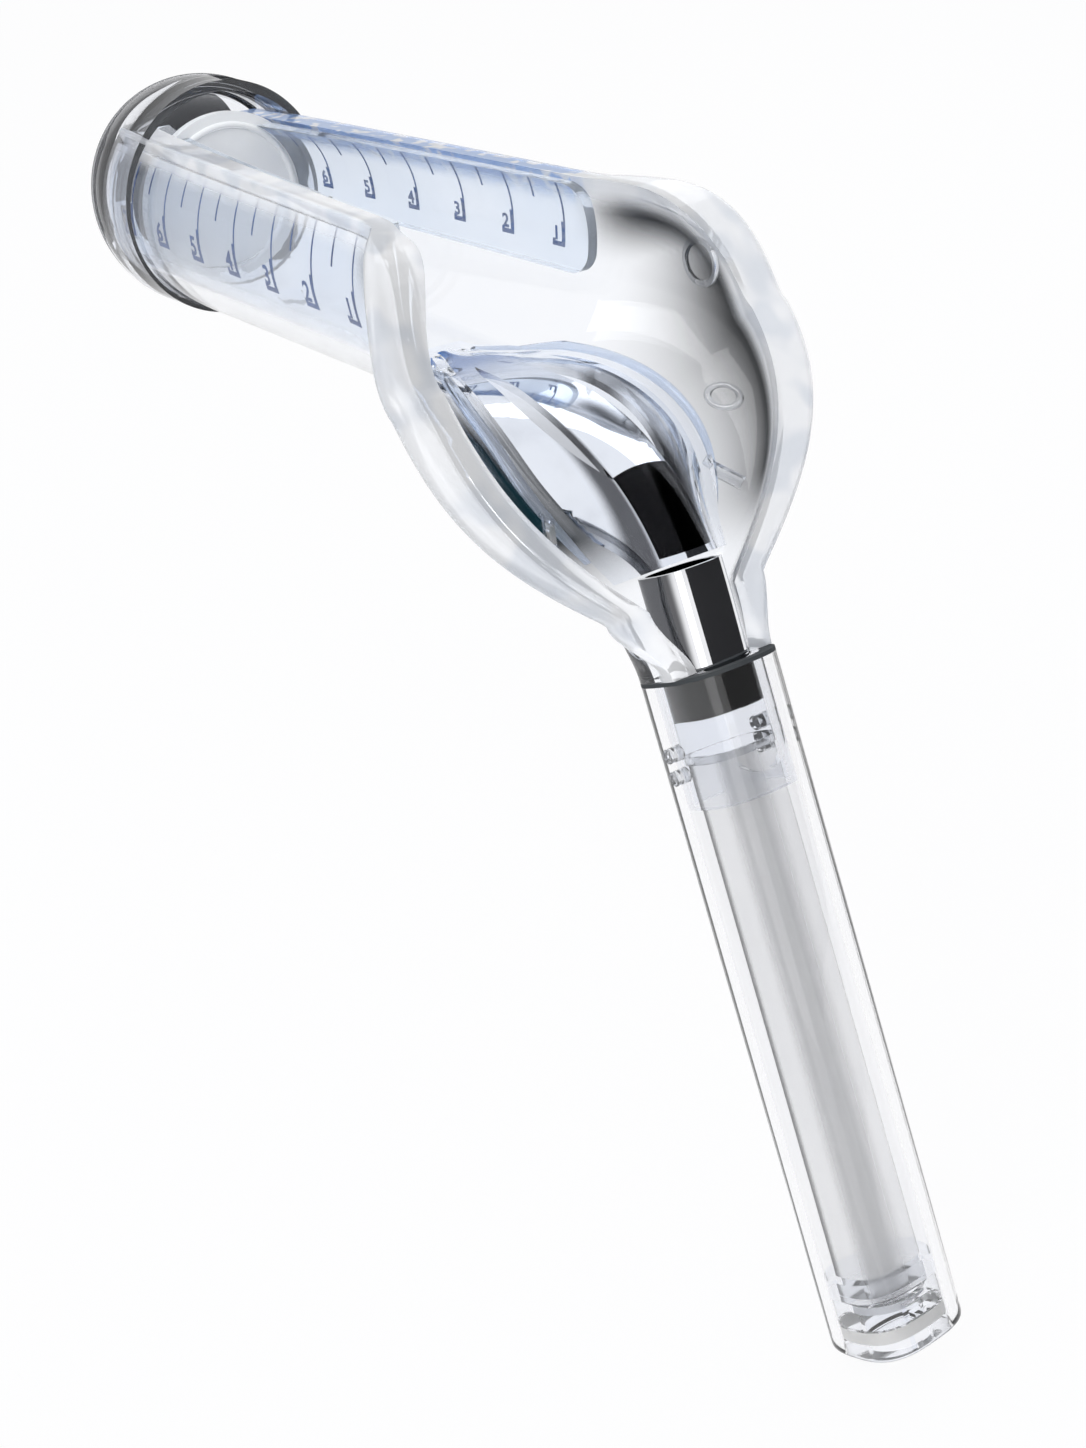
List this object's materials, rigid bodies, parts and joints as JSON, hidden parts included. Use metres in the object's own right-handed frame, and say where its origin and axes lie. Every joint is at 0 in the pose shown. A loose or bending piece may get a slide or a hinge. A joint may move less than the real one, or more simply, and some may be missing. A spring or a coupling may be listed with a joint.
{
  "type": "proctoscope",
  "caption": "Clear slotted barrel with a rounded nose and a spoon-shaped mouth on a hollow grip that carries light from its foot to a chromed reflector.",
  "frame": {"origin": "where the grip's axis meets the barrel's axis, in the middle of the viewing mouth", "axes": "+X along the barrel from the nose towards the mouth, +Z out of the barrel's window, +Y across the mouth; the grip runs down and forward, in the plane y = 0"},
  "size_m": [0.1628, 0.0582, 0.1337],
  "materials": {
    "clear_body": "clear, polished",
    "clear_nose": "clear, polished",
    "clear_scale": "clear with dark blue graduations",
    "clear_insert": "clear, polished",
    "disc_grey": "smoked, smooth",
    "bright_ring": "polished",
    "reflector_chrome": "mirror bright",
    "cover_clear": "clear window",
    "light_guide": "pale, satin",
    "band_white": "white",
    "seal_grey": "dark, matt"
  },
  "bodies": {
    "speculum": {"speculum_body": "clear_body", "nose_bulb": "clear_nose", "slide_stop": "clear_nose", "reflector_blade": "reflector_chrome", "reflector_cover": "cover_clear", "reflector_shank": "reflector_chrome", "reflector_clips": "clear_insert", "port_plug": "clear_nose", "collar_seal": "seal_grey", "handle_tube": "clear_body", "retaining_studs": "clear_insert", "guide_lens": "clear_insert", "guide_ferrule": "bright_ring", "light_guide_rod": "light_guide", "guide_seat": "clear_insert"},
    "scale_slide": {"graduated_slide": "clear_scale", "end_disc": "disc_grey", "disc_ring": "bright_ring"},
    "light_insert": {"socket_insert": "clear_insert", "insert_band": "band_white", "socket_seal": "seal_grey"}
  },
  "joints": [
    {"name": "slide_travel", "type": "slide", "parent": "speculum", "child": "scale_slide", "axis": [1, 0, 0], "range_m": [0, 0.02]},
    {"name": "insert_pull", "type": "slide", "parent": "speculum", "child": "light_insert", "axis": [0.3987, 0, -0.9171], "range_m": [0, 0.01]}
  ]
}
